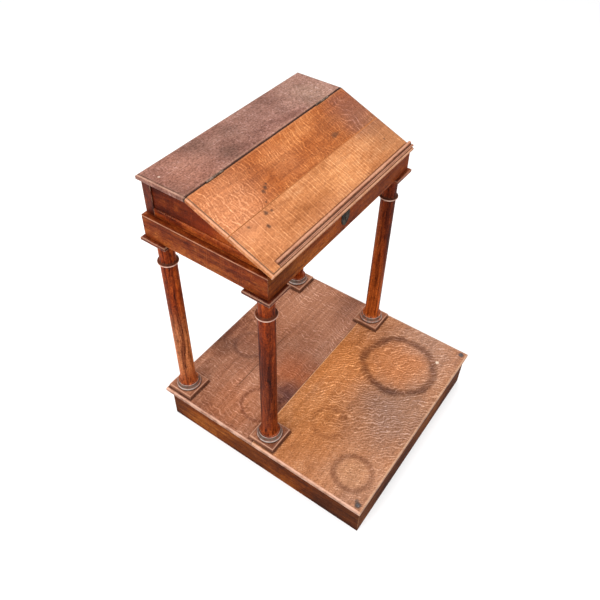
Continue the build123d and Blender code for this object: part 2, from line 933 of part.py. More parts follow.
beyond_hinge = 8.0
with BuildPart() as lid_board_upper:
    extrude(
        board_section(
            lid_across.offset(-beyond_hinge), -top_half_width, top_half_width, lid_thickness
        ),
        amount=beyond_hinge + lid_joint,
    )
    # The back edge is planed upright, parallel to the shelf's front edge.
    add(
        block(
            (-top_half_width - 1, lid_back_y, shelf_underside - 20),
            (top_half_width + 1, lid_back_y + 30, shelf_top + 20),
        ),
        mode=Mode.SUBTRACT,
    )
    for centre_x in hinge_centres.values():
        add(
            hinge_recess(centre_x, lid_back_y - leaf_thickness, lid_back_y),
            mode=Mode.SUBTRACT,
        )
    for plane in lid_hinge_screw_planes:
        with Locations(plane.location):
            add(hinge_screw, mode=Mode.SUBTRACT)
finish(lid_board_upper, "lid_board_upper")

with BuildPart() as lid_board_lower:
    extrude(
        board_section(
            lid_across.offset(lid_joint), -top_half_width, top_half_width, lid_thickness
        ),
        amount=lid_length - lid_joint,
    )
    extrude(
        board_section(lid_along, -lid_length, 0, lid_thickness, mould_high=False),
        amount=top_half_width,
        both=True,
        mode=Mode.INTERSECT,
    )
    add(keeper_block(keeper_half_width, keeper_half_length, keeper_thickness), mode=Mode.SUBTRACT)
    add(keeper_pocket, mode=Mode.SUBTRACT)
    for plane in keeper_screw_planes:
        with Locations(plane.location):
            add(keeper_screw, mode=Mode.SUBTRACT)
finish(lid_board_lower, "lid_board_lower")

# The reeded strip that stops books sliding off: a broad bead, a quirk and two small reeds. It
# stands on the lid's face behind the front nosing, stops short on the left and runs just past
# the lid on the right.
rest_left = -276.0
rest_right = 311.0
rest_back = 231.5
# Half width and height of each member; the quirk has a flat floor.
rest_bead = (4.4, 5.2)
rest_quirk = (1.6, 1.0)
rest_reed = (1.4, 3.0)
with BuildPart() as book_rest:
    with BuildSketch(lid_along.offset(rest_left)) as rest_section:
        member_back = rest_back
        for half_width, height in (rest_bead, rest_quirk, rest_reed, rest_reed):
            rounding = 0 if half_width > height else half_width
            with Locations((-member_back - half_width, 0)):
                Rectangle(2 * half_width, height - rounding, align=(Align.CENTER, Align.MIN))
            if rounding:
                with Locations((-member_back - half_width, height - rounding)):
                    Circle(half_width)
            member_back += 2 * half_width
        # The underside is flat on the lid.
        with Locations((-rest_back, 0)):
            Rectangle(60, 20, align=(Align.CENTER, Align.MAX), mode=Mode.SUBTRACT)
    extrude(amount=rest_right - rest_left)
finish(book_rest, "book_rest")
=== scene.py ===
import math

import bpy
from mathutils import Matrix, Vector


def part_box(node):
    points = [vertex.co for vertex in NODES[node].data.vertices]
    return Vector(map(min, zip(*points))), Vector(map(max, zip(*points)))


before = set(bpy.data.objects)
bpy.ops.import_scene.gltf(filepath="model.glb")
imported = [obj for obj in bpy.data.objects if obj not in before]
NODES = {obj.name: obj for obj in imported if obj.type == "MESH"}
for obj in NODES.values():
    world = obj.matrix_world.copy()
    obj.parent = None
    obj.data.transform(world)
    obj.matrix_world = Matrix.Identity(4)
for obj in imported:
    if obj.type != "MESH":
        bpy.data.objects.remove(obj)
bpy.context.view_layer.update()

MM = 0.001                 # in metres, the scene's own unit

# Places on the object, in millimetres.
BASE_TOP = 131.0
BASE_HALF_WIDTH = 335.0
BASE_FRONT_Y = -347.0
BASE_JOINT_Y = 15.0
RAIL_X = -322.0            # middle of the left base rail
COLUMN_X = 283.0
COLUMN_Y_FRONT = -11.0
COLUMN_Y_BACK = 297.0
PLINTH_TOP = 145.0
TORUS_TOP = 155.0
RING_BOTTOM = 160.5
ASTRAGAL_BOTTOM = 640.0
ASTRAGAL_TOP = 646.0
APRON_BOTTOM = 726.0
APRON_LEDGE = 791.0
APRON_FRONT_Y = -42.0
GABLE_X = -296.0
SHELF_TOP = 898.0
HINGE_Y = 182.0
LID_RISE, LID_RUN = 97.5, 235.5
LID_LENGTH = 254.9         # down the slope, from the hinges
LID_JOINT = 126.0
LID_HALF = 309.0
REST_BACK = 231.5
REST_LEFT = -277.0
LID_TURN = (math.atan2(LID_RISE, LID_RUN), 0.0, 0.0)
LID_ORIGIN = (0.0, HINGE_Y * MM, SHELF_TOP * MM)

# ---------------------------------------------------------------- camera
CAMERA_PLACE = Vector((-1.0630, -0.6317, 1.7066))
CAMERA_FORWARD = Vector((0.57874, 0.39230, -0.71495)).normalized()
CAMERA_RIGHT = Vector((0.57734, -0.81628, 0.01945))
CAMERA_LENS = 37.966       # millimetres
CAMERA_SENSOR = 36.0
CAMERA_REACH = 60.0        # metres


def make_camera():
    right = (CAMERA_RIGHT - CAMERA_RIGHT.dot(CAMERA_FORWARD) * CAMERA_FORWARD).normalized()
    up = right.cross(CAMERA_FORWARD)
    turn = Matrix((right, up, -CAMERA_FORWARD)).transposed().to_4x4()
    data = bpy.data.cameras.new("camera")
    data.lens = CAMERA_LENS
    data.sensor_width = CAMERA_SENSOR
    data.clip_end = CAMERA_REACH
    camera = bpy.data.objects.new("camera", data)
    camera.matrix_world = Matrix.Translation(CAMERA_PLACE) @ turn
    bpy.context.scene.collection.objects.link(camera)
    bpy.context.scene.camera = camera


make_camera()


# ---------------------------------------------------------------- node graphs
class Graph:
    """The node tree of one material, with short ways to add to it."""

    def __init__(self, name):
        self.material = bpy.data.materials.new(name)
        self.material.use_nodes = True
        self.tree = self.material.node_tree
        self.tree.nodes.clear()
        self.object_point = self.add("ShaderNodeTexCoord").outputs["Object"]

    def add(self, kind, inputs=None, **settings):
        node = self.tree.nodes.new(kind)
        for key, value in settings.items():
            setattr(node, key, value)
        for key, value in (inputs or {}).items():
            self.feed(node.inputs[key], value)
        return node

    def feed(self, socket, value):
        if isinstance(value, bpy.types.NodeSocket):
            self.tree.links.new(value, socket)
        elif socket.type == "RGBA":
            socket.default_value = tuple(value) + (1.0,)
        else:
            socket.default_value = value

    def math(self, operation, a, b=0.0, c=0.0, clamp=False):
        inputs = {0: a, 1: b, 2: c}
        return self.add("ShaderNodeMath", inputs, operation=operation, use_clamp=clamp).outputs[0]

    def vector(self, operation, a, b=(0.0, 0.0, 0.0)):
        return self.add("ShaderNodeVectorMath", {0: a, 1: b}, operation=operation).outputs[0]

    def length(self, a):
        return self.add("ShaderNodeVectorMath", {0: a}, operation="LENGTH").outputs["Value"]

    def dot(self, a, b):
        node = self.add("ShaderNodeVectorMath", {0: a, 1: b}, operation="DOT_PRODUCT")
        return node.outputs["Value"]

    def between(self, value, low, high, out_low=0.0, out_high=1.0):
        """Smoothly from out_low at low to out_high at high."""
        inputs = {"Value": value, "From Min": low, "From Max": high, "To Min": out_low}
        inputs["To Max"] = out_high
        return self.add("ShaderNodeMapRange", inputs, interpolation_type="SMOOTHSTEP").outputs[0]

    def mix(self, factor, a, b, blend="MIX"):
        node = self.add("ShaderNodeMix", data_type="RGBA", blend_type=blend)
        for socket, value in zip((node.inputs[0], node.inputs[6], node.inputs[7]), (factor, a, b)):
            self.feed(socket, value)
        return node.outputs[2]

    def gain(self, factor, colour, gains):
        """The colour, multiplied by the gains where the factor is 1."""
        return self.mix(factor, colour, self.vector("MULTIPLY", colour, gains))

    def ramp(self, value, stops):
        node = self.add("ShaderNodeValToRGB", {"Fac": value})
        elements = node.color_ramp.elements
        while len(elements) < len(stops):
            elements.new(0.5)
        for element, (position, colour) in zip(elements, stops):
            element.position = position
            element.color = tuple(colour) + (1.0,)
        return node.outputs["Color"]

    def noise(self, point, scale, detail=3.0, roughness=0.55, distortion=0.0):
        inputs = {"Vector": point, "Scale": scale, "Detail": detail, "Roughness": roughness}
        inputs["Distortion"] = distortion
        return self.add("ShaderNodeTexNoise", inputs).outputs["Fac"]

    def wobble(self, point, scale, detail):
        """Noise centred on zero."""
        return self.math("SUBTRACT", self.noise(point, scale, detail), 0.5)

    def product(self, *factors):
        result = factors[0]
        for factor in factors[1:]:
            result = self.math("MULTIPLY", result, factor)
        return result

    def distance(self, value, place):
        """How far a value is from a place, whichever side it lies."""
        return self.math("ABSOLUTE", self.math("SUBTRACT", value, place))

    def noise_vector(self, point, scale, detail=2.0):
        """Noise as a vector centred on zero."""
        node = self.add("ShaderNodeTexNoise", {"Vector": point, "Scale": scale, "Detail": detail})
        return self.vector("SUBTRACT", node.outputs["Color"], (0.5, 0.5, 0.5))

    def place(self, origin=(0, 0, 0), turn=(0, 0, 0)):
        """The object's point, measured from an origin along turned axes."""
        return self.add(
            "ShaderNodeMapping",
            {"Vector": self.object_point, "Location": origin, "Rotation": turn},
            vector_type="TEXTURE",
        ).outputs[0]

    def scaled(self, point, factors):
        return self.vector("MULTIPLY", point, factors)

    def turned(self, point, angle):
        """The point, with its axes turned about z."""
        return self.add(
            "ShaderNodeVectorRotate", {"Vector": point, "Angle": angle}, rotation_type="Z_AXIS"
        ).outputs[0]

    def parts(self, point):
        return self.add("ShaderNodeSeparateXYZ", {0: point}).outputs

    def spot(self, point, centre, radius, soft=0.5, ragged=0.0, stretch=(1, 1, 1)):
        """1 inside a round patch and 0 outside, with a soft and ragged edge."""
        offset = self.scaled(self.vector("SUBTRACT", point, centre), stretch)
        distance = self.length(offset)
        if ragged:
            wobble = self.wobble(point, 1.2 / radius, 4.0)
            distance = self.math("MULTIPLY_ADD", wobble, ragged * radius * 2, distance)
        return self.between(distance, radius * (1 + soft), radius * (1 - soft))

    def ring(self, point, centre, radius, width, ragged):
        """A ring-shaped stain, uneven round its length."""
        distance = self.length(self.vector("SUBTRACT", point, centre))
        wobble = self.wobble(point, 9.0, 3.0)
        distance = self.math("MULTIPLY_ADD", wobble, ragged * width * 2, distance)
        band = self.between(self.distance(distance, radius), width, width * 0.15)
        shows = self.between(self.noise(point, 14.0, 3.0), 0.3, 0.62, 0.65)
        return self.product(band, shows)


GRAIN_TURN = {
    "x": (0.0, 0.0, 0.0),
    "y": (0.0, 0.0, math.radians(90)),
    "z": (0.0, math.radians(-90), 0.0),
}


class Rays:
    """Ray flecks: thin pale lines side by side, which waver together and break off singly.

    The lengths are in millimetres.
    """

    def __init__(self, spacing, length, strength, angle=0.0, *, warp, warp_size, ripple, width,
                 cover=0.5, where=None):
        self.spacing = spacing * MM     # from one line to the next
        self.length = length * MM       # between breaks
        self.strength = strength
        self.angle = angle              # degrees off square to the grain
        self.warp = warp * MM           # how far they waver together
        self.warp_size = warp_size * MM
        self.ripple = ripple * MM       # how far each strays by itself
        self.width = width              # part of the spacing
        self.cover = cover              # part of their length that shows
        self.where = where              # centre and radius of the only part that has them

    def draw(self, g, board, seed):
        """The lines, and the darker wood beside them."""
        turned = g.turned(board, math.radians(self.angle))
        broad = g.wobble(board, 1 / self.warp_size, 3.0)
        small = g.wobble(board, 0.4 / self.spacing, 2.0)
        parts = g.parts(turned)
        across = g.math("MULTIPLY_ADD", broad, 2 * self.warp, parts["X"])
        across = g.math("MULTIPLY_ADD", small, 2 * self.ripple, across)
        count = g.math("MULTIPLY_ADD", across, 1 / self.spacing, seed)
        index = g.math("ROUND", count)
        off = g.distance(count, index)
        # Each line reads its own stretch of noise, so the lines break off in different places.
        own_noise = g.product(index, 3.71)
        way = g.product(parts["Y"], 1 / self.length)
        along = g.add("ShaderNodeCombineXYZ", {0: own_noise, 1: way, 2: seed}).outputs[0]
        middle = 0.5 + (0.5 - self.cover) * 0.3
        shows = g.between(g.noise(along, 1.0, 2.0, 0.6), middle - 0.05, middle + 0.09)
        if self.where:
            centre, radius = self.where
            shows = g.product(shows, g.spot(board, centre, radius * MM, soft=0.5, ragged=0.5))
        line = g.product(g.between(off, self.width, self.width * 0.3), shows)
        flank = g.product(g.between(off, self.width, self.width * 2.0), shows)
        return line, flank


# What each feature of the wood multiplies red, green and blue by.
RING_DARK, RING_LIGHT = (0.40, 0.30, 0.26), (1.65, 1.75, 1.8)
RAY_FLANK, RAY_LINE = (0.74, 0.68, 0.62), (1.55, 1.85, 2.2)
GRIT_DARK, GRIT_LIGHT = (0.45, 0.38, 0.34), (1.5, 1.6, 1.7)
# The crease tone darkens the creases: dirt and painted shade.
PORE, SPECK, CREASE_DIRT_AND_SHADE = (0.30, 0.20, 0.16), (0.20, 0.15, 0.14), (0.22, 0.16, 0.13)


def wood(name, tones, turn=(0, 0, 0), origin=(0, 0, 0), seed=0.0, rays=(), stains_and_shading=(),
         streak=0.35, streak_size=11.0, pore=0.35, grit=0.16, worn=(0.62, 0.36, 0.22), wear=0.6,
         wear_radius=3.5, roughness=(0.42, 0.6), bump=0.35, mottle=9.0, mottle_stretch=0.5,
         crease=0.5, gloss=0.12, marks=(), speck=0.5, pore_size=1.0):
    """Old waxed oak, cut so that the grain runs along the turned x axis.

    The two lists of functions taking (graph, board point, colour) and giving a colour hold
    real staining and wear, and also painted light and painted shade. The first list lies under
    the ray flecks, and the marks lie over them. streak_size and wear_radius are in millimetres.
    """
    g = Graph(name)
    board = g.place(origin, turn)
    grain = g.vector("ADD", board, (seed * 3.17, seed * 1.31, seed * 0.73))

    broad = g.noise(g.scaled(grain, (mottle_stretch, 1.2, 1.2)), mottle, 3.0, 0.55)
    fine = g.noise(g.scaled(grain, (0.8, 1.6, 1.6)), mottle * 7.0, 3.0, 0.65)
    tone = g.math("MULTIPLY_ADD", g.math("SUBTRACT", fine, 0.5), 0.45, broad)
    colour = g.ramp(tone, [(0.32, tones[0]), (0.45, tones[1]), (0.56, tones[2]), (0.70, tones[3])])
    # Real staining, and patches of painted light and painted shade, go under the ray flecks.
    for stain in stains_and_shading:
        colour = stain(g, board, colour)

    # Year rings: long streaks along the grain.
    waver = g.scaled(g.noise_vector(grain, 5.0), (0.0, 0.018, 0.018))
    fineness = 1 / (streak_size * MM)
    lines = g.scaled(g.vector("ADD", grain, waver), (fineness * 0.035, fineness, fineness))
    rings = g.noise(lines, 1.0, 4.0, 0.65)
    dark = g.between(rings, 0.54, 0.36)
    light = g.between(rings, 0.54, 0.68)
    colour = g.gain(g.product(dark, streak), colour, RING_DARK)
    colour = g.gain(g.product(light, streak * 0.8), colour, RING_LIGHT)
    height = g.product(dark, -0.5)

    # Open pores: short dark dashes.
    coarse = 1 / pore_size
    dashes = g.noise(g.scaled(grain, (95 * coarse, 700 * coarse, 700 * coarse)), 1.0, 2.0, 0.5)
    pores = g.between(dashes, 0.57, 0.68)
    pores = g.product(pores, g.between(rings, 0.62, 0.42, 0.35))
    colour = g.mix(g.product(pores, pore), colour, PORE, "MULTIPLY")
    height = g.math("MULTIPLY_ADD", pores, -0.8, height)

    for number, set_of_rays in enumerate(rays):
        line, flank = set_of_rays.draw(g, board, seed + 5.3 * number)
        strength = set_of_rays.strength
        colour = g.gain(g.product(flank, strength * 0.5), colour, RAY_FLANK)
        colour = g.gain(g.product(line, strength), colour, RAY_LINE)
        height = g.math("MULTIPLY_ADD", line, 0.4, height)

    # Fine unevenness of the polish, and small dark specks.
    grain_grit = g.noise(g.scaled(grain, (0.7, 1.0, 1.0)), 260.0, 2.0, 0.6)
    colour = g.gain(g.between(grain_grit, 0.50, 0.30, 0.0, grit * 3.0), colour, GRIT_DARK)
    colour = g.gain(g.between(grain_grit, 0.50, 0.70, 0.0, grit * 3.0), colour, GRIT_LIGHT)
    if speck:
        point = g.add("ShaderNodeTexVoronoi", {"Vector": grain, "Scale": 34.0}).outputs["Distance"]
        rare = g.between(g.noise(grain, 11.0, 3.0), 0.52, 0.62)
        dot = g.product(g.between(point, 0.085, 0.045), rare)
        colour = g.mix(g.product(dot, speck), colour, SPECK, "MULTIPLY")

    # The creases are darkened by ambient occlusion: dirt and painted shade. The arrises are rubbed
    # pale.
    hollow = g.add("ShaderNodeAmbientOcclusion", {"Distance": 0.02}, samples=6).outputs["AO"]
    crease_dirt_and_shade = g.product(g.between(hollow, 0.80, 0.30), crease)
    colour = g.mix(crease_dirt_and_shade, colour, CREASE_DIRT_AND_SHADE, "MULTIPLY")
    rounded = g.add("ShaderNodeBevel", {"Radius": wear_radius * MM}, samples=6).outputs["Normal"]
    flat = g.add("ShaderNodeNewGeometry").outputs["True Normal"]
    facing = g.dot(rounded, flat)
    arris = g.product(g.between(facing, 0.985, 0.86), g.between(hollow, 0.50, 0.75))
    patchy = g.between(g.noise(board, 38.0, 4.0, 0.65), 0.34, 0.58)
    rubbed = g.product(arris, patchy, wear)
    colour = g.mix(rubbed, colour, worn)
    for mark in marks:
        colour = mark(g, board, colour)

    smooth, rough = roughness
    shine = g.math("MULTIPLY_ADD", g.noise(board, 18.0, 4.0, 0.6), rough - smooth, smooth)
    shine = g.math("MULTIPLY_ADD", rubbed, 0.12, shine)
    lump = g.noise(g.scaled(board, (1.0, 1.6, 1.6)), 22.0, 3.0, 0.5)
    height = g.math("MULTIPLY_ADD", lump, 1.2, height)
    normal = g.add(
        "ShaderNodeBump",
        {"Strength": bump, "Distance": 0.0006, "Height": height, "Normal": rounded},
    ).outputs["Normal"]
    shader = g.add(
        "ShaderNodeBsdfPrincipled",
        {"Base Color": colour, "Roughness": shine, "Normal": normal, "IOR": 1.45,
         "Specular IOR Level": gloss},
    )
    output = g.add("ShaderNodeOutputMaterial")
    g.tree.links.new(shader.outputs[0], output.inputs["Surface"])
    return g.material


def patch(centre, radius, tone, strength, soft=0.6, ragged=0.6, stretch=(1, 1, 1)):
    """One uneven patch of another tone, used for real stain marks and for painted light. The radius
    is in millimetres.
    """

    def apply(g, board, colour):
        spot = g.spot(board, centre, radius * MM, soft, ragged, stretch)
        return g.mix(g.product(spot, strength), colour, tone)

    return apply


def ring_mark(centre, radius, width, tone, strength, ragged=0.4):
    """The mark that a wet pot leaves. The radius and the width are in millimetres."""

    def apply(g, board, colour):
        band = g.ring(board, centre, radius * MM, width * MM, ragged)
        return g.mix(g.product(band, strength), colour, tone, "MULTIPLY")

    return apply


def edge_band(axis, place, width, tone, strength, ragged=0.7, patchy=0.5, start=None):
    """A band along a straight line across the board, in millimetres along one axis.

    It starts at a place on another axis, if one is given.
    """
    place, width = place * MM, width * MM

    def apply(g, board, colour):
        off = g.distance(g.parts(board)[axis], place)
        off = g.math("MULTIPLY_ADD", g.wobble(board, 45.0, 3.0), 2 * ragged * width, off)
        band = g.between(off, width, width * 0.45)
        if start:
            other_axis, first = start
            along = g.parts(board)[other_axis]
            band = g.product(band, g.between(along, (first - 1) * MM, (first + 1) * MM))
        shows = g.between(g.noise(board, 24.0, 4.0, 0.6), 0.35, 0.58, 1 - patchy)
        return g.mix(g.product(band, shows, strength), colour, tone)

    return apply


def crack(start, end, width, tone, strength):
    """A fine line along the grain. The width is in millimetres."""
    middle = tuple((a + b) / 2 for a, b in zip(start, end))
    half = (end[0] - start[0]) / 2
    width = width * MM

    def apply(g, board, colour):
        offset = g.vector("SUBTRACT", board, middle)
        along, across = g.parts(offset)["X"], g.parts(offset)["Y"]
        wander = g.wobble(g.scaled(board, (1, 0, 0)), 14.0, 3.0)
        across = g.math("ABSOLUTE", g.math("MULTIPLY_ADD", wander, 4 * MM, across))
        line = g.product(
            g.between(across, width, width * 0.3),
            g.between(g.math("ABSOLUTE", along), half, half * 0.85),
        )
        return g.mix(g.product(line, strength), colour, tone)

    return apply


def turned_band(axis, low, high, inner, tone, strength):
    """Painted highlights, painted shade and pale grey bands on a turned moulding round an upright
    axis.

    It lies between two heights and outside the inner radius, all in millimetres.
    """
    soft = 1.0 * MM
    low, high, inner = low * MM, high * MM, inner * MM

    def apply(g, board, colour):
        place = g.vector("SUBTRACT", g.object_point, (axis.x, axis.y, 0.0))
        z = g.parts(place)["Z"]
        away = g.length(g.scaled(place, (1, 1, 0)))
        band = g.product(
            g.between(z, low - soft, low + soft),
            g.between(z, high + soft, high - soft),
            g.between(away, inner - soft, inner + soft),
        )
        shows = g.between(g.noise(g.object_point, 70.0, 4.0, 0.6), 0.32, 0.56, 0.45)
        return g.mix(g.product(band, shows, strength), colour, tone)

    return apply


def square_rim(half, width, low, tone, strength, blend="MIX"):
    """A square line round each of the four columns, half its side from their axes.

    It shows above one height. The lengths are in millimetres.
    """
    half, width, low, soft = half * MM, width * MM, low * MM, 0.5 * MM
    middle_y = (COLUMN_Y_BACK + COLUMN_Y_FRONT) / 2 * MM
    half_spacing_y = (COLUMN_Y_BACK - COLUMN_Y_FRONT) / 2 * MM

    def apply(g, board, colour):
        x, y, z = (g.parts(g.object_point)[key] for key in ("X", "Y", "Z"))
        from_x = g.distance(g.math("ABSOLUTE", x), COLUMN_X * MM)
        from_y = g.distance(g.distance(y, middle_y), half_spacing_y)
        off = g.distance(g.math("MAXIMUM", from_x, from_y), half)
        band = g.product(g.between(off, width, width * 0.4), g.between(z, low - soft, low + soft))
        shows = g.between(g.noise(g.object_point, 50.0, 4.0, 0.6), 0.35, 0.58, 0.6)
        return g.mix(g.product(band, shows, strength), colour, tone, blend)

    return apply


METAL_DIRT = (0.03, 0.022, 0.016)


def metal(name, tones, roughness, metallic=1.0, gloss=0.5):
    """Old metal with dirt in its hollows."""
    g = Graph(name)
    blotch = g.noise(g.object_point, 60.0, 5.0, 0.6)
    colour = g.ramp(blotch, [(0.35, tones[0]), (0.5, tones[1]), (0.66, tones[2])])
    hollow = g.add("ShaderNodeAmbientOcclusion", {"Distance": 0.004}, samples=6).outputs["AO"]
    colour = g.mix(g.between(hollow, 0.8, 0.3), colour, METAL_DIRT)
    shine = g.between(blotch, 0.3, 0.7, roughness[0], roughness[1])
    normal = g.add(
        "ShaderNodeBump", {"Strength": 0.2, "Distance": 0.0003, "Height": blotch}
    ).outputs["Normal"]
    shader = g.add(
        "ShaderNodeBsdfPrincipled",
        {"Base Color": colour, "Roughness": shine, "Metallic": metallic, "Normal": normal,
         "Specular IOR Level": gloss},
    )
    output = g.add("ShaderNodeOutputMaterial")
    g.tree.links.new(shader.outputs[0], output.inputs["Surface"])
    return g.material


# ---------------------------------------------------------------- places on the object
def on_lid(x, down):
    """A place on the lid's face, down its slope from the hinges, in its own axes."""
    return (x * MM, -down * MM, 0.0)


def on_base(x, y):
    """A place on the base's top."""
    return (x * MM, y * MM, BASE_TOP * MM)


def on_shelf(x, y):
    """A place on the shelf behind the hinges."""
    return (x * MM, y * MM, SHELF_TOP * MM)


def on_apron(x, z):
    """A place on the apron's front face."""
    return (x * MM, APRON_FRONT_Y * MM, z * MM)


def on_side(x, y, z):
    """A place on a side piece, in the axes of its grain."""
    return (y * MM, -x * MM, z * MM)


def on_shaft(x, y, z):
    """A place on a column, in the axes of its upright grain."""
    return (z * MM, y * MM, -x * MM)


# ---------------------------------------------------------------- tones
GOLD = (
    (0.190, 0.042, 0.007), (0.260, 0.066, 0.013), (0.315, 0.090, 0.021), (0.385, 0.130, 0.038),
)
HONEY = (
    (0.235, 0.070, 0.017), (0.320, 0.108, 0.033), (0.385, 0.143, 0.050), (0.45, 0.195, 0.080),
)
PLUM = (
    (0.118, 0.046, 0.032), (0.172, 0.074, 0.053), (0.205, 0.094, 0.069), (0.255, 0.130, 0.098),
)
SIENNA = (
    (0.085, 0.010, 0.002), (0.165, 0.024, 0.004), (0.270, 0.055, 0.009), (0.42, 0.120, 0.022),
)
CHESTNUT = (
    (0.050, 0.006, 0.001), (0.105, 0.0145, 0.0025), (0.170, 0.031, 0.005), (0.28, 0.075, 0.014),
)
HEARTH = (
    (0.135, 0.042, 0.021), (0.245, 0.090, 0.046), (0.310, 0.128, 0.070), (0.41, 0.195, 0.118),
)
SOOT = (
    (0.026, 0.0050, 0.001), (0.068, 0.0150, 0.0022), (0.105, 0.027, 0.005), (0.18, 0.055, 0.012),
)
UMBER = (
    (0.046, 0.0082, 0.001), (0.120, 0.023, 0.0018), (0.180, 0.040, 0.004), (0.28, 0.080, 0.012),
)
TAWNY = (
    (0.17, 0.055, 0.025), (0.28, 0.100, 0.050), (0.36, 0.150, 0.080), (0.46, 0.215, 0.125),
)
AMBER = (
    (0.215, 0.066, 0.020), (0.320, 0.112, 0.037), (0.410, 0.158, 0.062), (0.50, 0.23, 0.110),
)
RUSSET = (
    (0.060, 0.007, 0.001), (0.120, 0.016, 0.002), (0.195, 0.034, 0.005), (0.31, 0.075, 0.012),
)
DEEP = (
    (0.026, 0.003, 0.001), (0.055, 0.0065, 0.0015), (0.100, 0.014, 0.0025), (0.20, 0.040, 0.007),
)
FASCIA = (
    (0.075, 0.009, 0.001), (0.142, 0.019, 0.002), (0.205, 0.037, 0.003), (0.30, 0.078, 0.009),
)
PALE = (
    (0.30, 0.18, 0.10), (0.38, 0.24, 0.14), (0.45, 0.30, 0.18), (0.52, 0.36, 0.22),
)
DULL_BRASS = ((0.045, 0.026, 0.018), (0.11, 0.070, 0.050), (0.26, 0.18, 0.14))
DULL_STEEL = ((0.05, 0.04, 0.04), (0.10, 0.085, 0.085), (0.20, 0.17, 0.16))
BRIGHT_STEEL = ((0.16, 0.15, 0.14), (0.28, 0.27, 0.26), (0.42, 0.40, 0.38))
BLACKENED = ((0.004, 0.003, 0.002), (0.010, 0.008, 0.006), (0.06, 0.05, 0.04))

# Pale grey bands on the torus and the ring of each column's base.
PALE_GREY = (0.44, 0.37, 0.33)
# Painted highlight on the astragal's rim.
ASTRAGAL_HIGHLIGHT = (0.72, 0.46, 0.36)
# Painted shade just above and just below the astragal.
ASTRAGAL_SHADE_ABOVE, ASTRAGAL_SHADE_BELOW = (0.06, 0.022, 0.012), (0.06, 0.018, 0.008)
PURPLE_STAIN = (0.17, 0.068, 0.046)
BLACK_STAIN = (0.045, 0.020, 0.012)
# Pale nosing on the lid's edges: wear and a painted highlight on the rounded edge.
NOSING_WEAR_AND_HIGHLIGHT = (0.52, 0.28, 0.18)
# Pale nosing line on the base boards' edges: wear and painted highlight.
BASE_EDGE_WEAR_AND_HIGHLIGHT = (0.62, 0.37, 0.27)
# Painted shade on the side faces of the base boards, under the nosing.
BOARD_SIDE_SHADE = (0.115, 0.036, 0.014)
# Painted shadow in the small step of the thumb moulding.
GROOVE_SHADE = (0.13, 0.070, 0.040)


# ---------------------------------------------------------------- stains and marks
LID_STAINS = [
    patch(on_lid(262, 62), 62, PURPLE_STAIN, 0.62, soft=0.9),
    patch(on_lid(278, 118), 48, PURPLE_STAIN, 0.50, soft=0.9),
    patch(on_lid(222, 104), 34, PURPLE_STAIN, 0.35, soft=0.9),
    patch(on_lid(-180, 30), 55, (0.25, 0.085, 0.035), 0.45, soft=0.9),
    patch(on_lid(60, 205), 70, (0.62, 0.27, 0.10), 0.30, soft=0.9),
    patch(on_lid(-60, 240), 50, (0.34, 0.13, 0.055), 0.5, soft=0.8, stretch=(0.3, 1.6, 1)),
    patch(on_lid(-262, 100), 85, (0.48, 0.190, 0.085), 0.70, soft=0.9),
    patch(on_lid(275, 190), 75, (0.27, 0.110, 0.045), 0.55, soft=0.9),
    patch(on_lid(150, 60), 50, (0.22, 0.066, 0.020), 0.45, soft=0.9, ragged=0.9),
    patch(on_lid(-40, 60), 45, (0.36, 0.125, 0.045), 0.45, soft=0.9, ragged=0.9),
]
LID_MARKS = [
    patch(on_lid(147, 93), 8, BLACK_STAIN, 0.6, stretch=(0.6, 1.2, 1)),
    patch(on_lid(-138, 90), 5.2, BLACK_STAIN, 0.8),
    patch(on_lid(-150, 95), 5, BLACK_STAIN, 0.75),
    patch(on_lid(-128, 84), 3, BLACK_STAIN, 0.7),
    patch(on_lid(-192, 137), 5.5, BLACK_STAIN, 0.8),
    patch(on_lid(-176, 141), 3.5, BLACK_STAIN, 0.7),
    patch(on_lid(-168, 118), 2.6, BLACK_STAIN, 0.7),
    patch(on_lid(-215, 164), 5, BLACK_STAIN, 0.8),
    patch(on_lid(-254, 138), 4, BLACK_STAIN, 0.6),
    patch(on_lid(257, 184), 3, BLACK_STAIN, 0.7),
    edge_band("X", 6.6 - LID_HALF, 1.6, GROOVE_SHADE, 0.9, ragged=0.2, patchy=0.2,
              start=("Y", 5.5 - LID_LENGTH)),
    edge_band("X", 2.6 - LID_HALF, 2.2, NOSING_WEAR_AND_HIGHLIGHT, 0.65, ragged=0.4),
    edge_band("X", LID_HALF - 3.0, 5.0, (0.20, 0.11, 0.07), 0.7, ragged=0.4),
    edge_band("Y", 2.2 - LID_LENGTH, 2.0, NOSING_WEAR_AND_HIGHLIGHT, 0.9, ragged=0.3),
    edge_band("Y", 5.9 - LID_LENGTH, 1.5, GROOVE_SHADE, 0.9, ragged=0.2, patchy=0.2,
              start=("X", 6.2 - LID_HALF)),
    # Dirt and painted shadow along the back of the book rest.
    edge_band("Y", 1.2 - REST_BACK, 2.0, (0.10, 0.034, 0.012), 0.9, ragged=0.4, patchy=0.3,
              start=("X", REST_LEFT)),
    edge_band("Y", -LID_JOINT, 2.0, (0.34, 0.113, 0.032), 0.92, ragged=0.2, patchy=0.0),
    crack(on_lid(-292, LID_JOINT), on_lid(-120, LID_JOINT), 1, (0.13, 0.046, 0.018), 0.65),
    # Painted shade in the gap at the hinges, on the lid's top edge.
    edge_band("Y", -0.6, 1.8, (0.060, 0.018, 0.007), 0.9, ragged=0.3, patchy=0.2),
    edge_band("Y", -4.2, 1.6, (0.40, 0.150, 0.055), 0.5, ragged=0.3),
]

